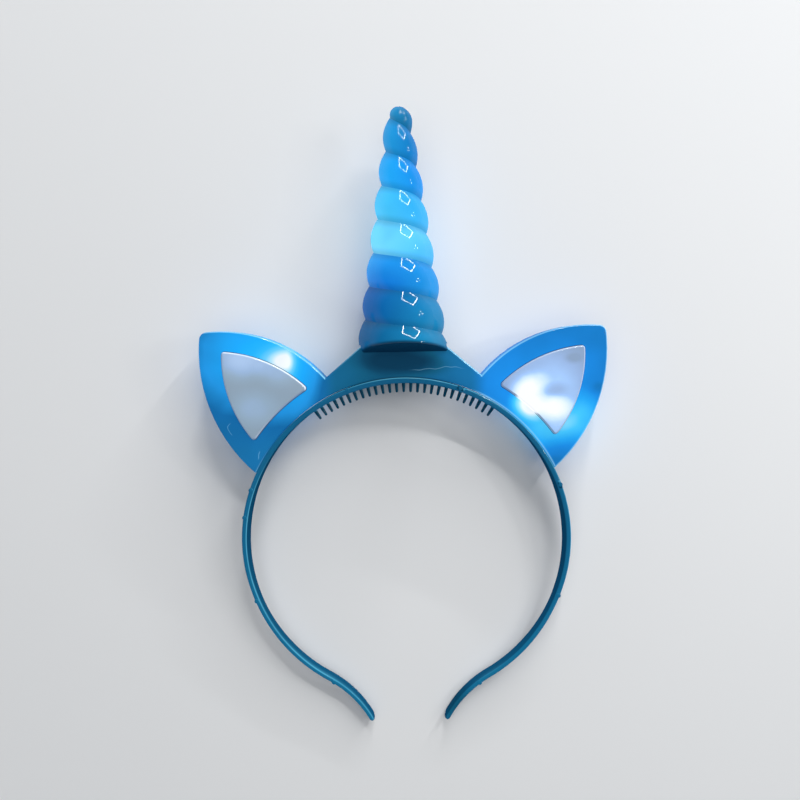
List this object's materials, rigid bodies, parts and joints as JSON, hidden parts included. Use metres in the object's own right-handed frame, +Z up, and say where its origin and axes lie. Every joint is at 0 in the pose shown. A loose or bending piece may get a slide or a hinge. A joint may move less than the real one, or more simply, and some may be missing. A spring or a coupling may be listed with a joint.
{
  "type": "unicorn horn headband",
  "caption": "Light-up unicorn horn headband: a glossy spiral horn and pointed ears with milky windows, on a springy plastic band with comb teeth.",
  "frame": {"origin": "middle of the base of the bounding box, on the surface that the headband lies on", "axes": "+X to the viewer's right, +Y the way the horn points, +Z up, out of the headband's front"},
  "size_m": [0.1634, 0.2496, 0.0349],
  "materials": {
    "glossy_blue": "glossy translucent blue plastic, lit from inside by the ears",
    "soft_blue": "glossy soft blue vinyl, lit from inside",
    "milky_white": "smooth milky translucent plastic",
    "clear_lamp": "clear lamp resin, lit"
  },
  "bodies": {
    "root": {"band": "glossy_blue", "housing_front": "glossy_blue", "housing_back": "glossy_blue", "battery_cover": "glossy_blue", "ear_window_left": "milky_white", "ear_window_right": "milky_white", "horn": "soft_blue", "horn_post": "glossy_blue", "horn_lamp": "clear_lamp", "ear_lamp_left": "clear_lamp", "ear_lamp_right": "clear_lamp"}
  },
  "joints": []
}
